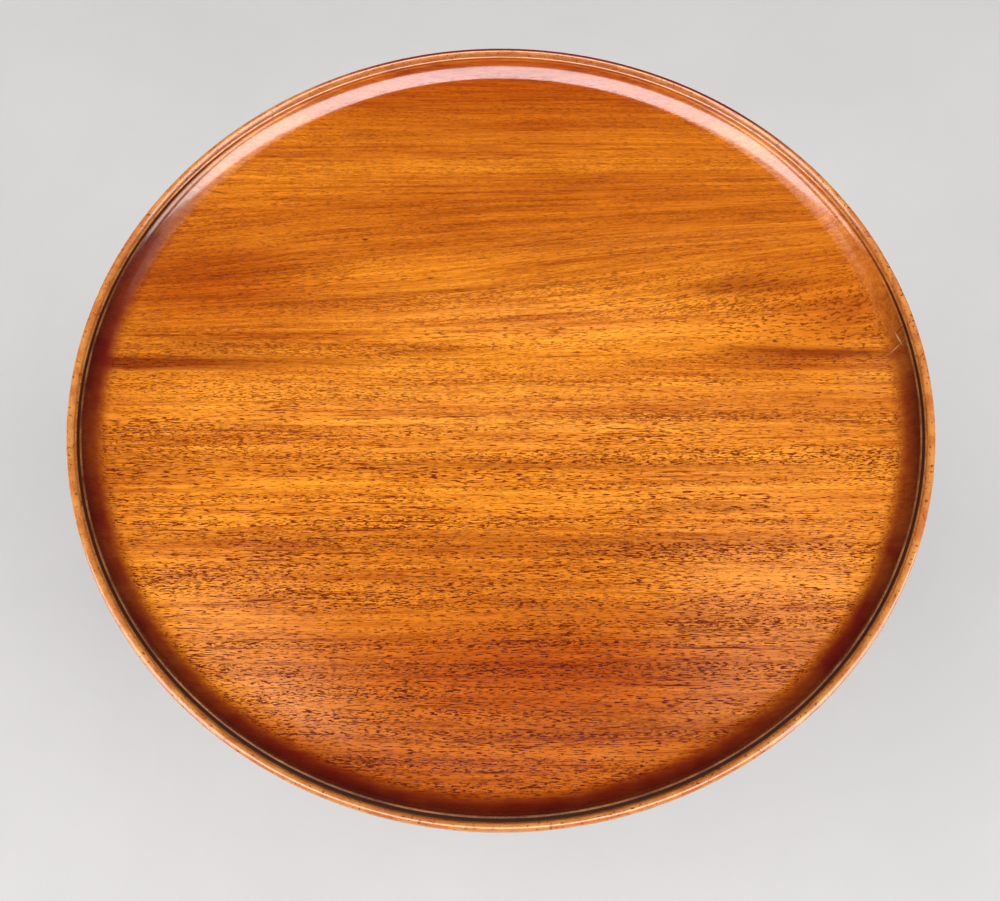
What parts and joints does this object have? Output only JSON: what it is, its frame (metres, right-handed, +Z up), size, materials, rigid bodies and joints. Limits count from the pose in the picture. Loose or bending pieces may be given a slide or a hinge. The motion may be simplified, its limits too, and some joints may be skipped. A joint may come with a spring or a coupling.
{
  "type": "tilt-top wine table",
  "caption": "Round mahogany wine table: a dished top with a turned, moulded rim tilts up on a block over a turned column and three cabriole legs.",
  "frame": {"origin": "on the floor, on the column's axis", "axes": "+Z up; +X to the right along the top's grain and along the pivots' axis; -Y towards the pivots and +Y towards the catch, at rest with the top level"},
  "size_m": [0.6, 0.6, 0.71],
  "materials": {
    "top_mahogany": "French-polished mahogany, red-brown under an orange glow, worn along the rim",
    "base_mahogany": "French-polished mahogany, darker than the top",
    "frame_mahogany": "planed and oiled mahogany, dry and unpolished",
    "catch_brass": "cast and turned brass, dulled with age",
    "spider_iron": "wrought iron plate, blackened",
    "screw_steel": "slotted steel screws, slightly rusted",
    "spring_steel": "round spring wire"
  },
  "bodies": {
    "base": {"column": "base_mahogany", "tilt_block": "frame_mahogany", "tenon_wedge": "frame_mahogany", "leg_front_right": "base_mahogany", "leg_rear": "base_mahogany", "leg_front_left": "base_mahogany", "spider_plate": "spider_iron", "keeper_plate": "catch_brass", "spider_screw_hub": "screw_steel", "spider_screw_front_right": "screw_steel", "spider_screw_rear": "screw_steel", "spider_screw_front_left": "screw_steel", "keeper_screw_left": "catch_brass", "keeper_screw_right": "catch_brass"},
    "top": {"table_top": "top_mahogany", "bearer_left": "frame_mahogany", "bearer_right": "frame_mahogany", "bearer_screw_left_front": "screw_steel", "bearer_screw_left_middle": "screw_steel", "bearer_screw_left_rear": "screw_steel", "bearer_screw_right_front": "screw_steel", "bearer_screw_right_middle": "screw_steel", "bearer_screw_right_rear": "screw_steel", "catch_case": "catch_brass", "catch_spring": "spring_steel", "catch_screw_front_left": "catch_brass", "catch_screw_front_right": "catch_brass", "catch_screw_rear_left": "catch_brass", "catch_screw_rear_right": "catch_brass"},
    "bolt": {"catch_bolt": "catch_brass", "catch_knob": "catch_brass"}
  },
  "joints": [
    {"name": "top_tilt", "type": "hinge", "parent": "base", "child": "top", "pos_m": [0, -0.058, 0.6682], "axis": [1, 0, 0], "range_deg": [0, 90]},
    {"name": "catch_slide", "type": "slide", "parent": "top", "child": "bolt", "axis": [0, 1, 0], "range_m": [0, 0.007], "stiffness_N_per_m": 500, "springref_m": -0.006, "deforming": ["catch_spring"]}
  ]
}
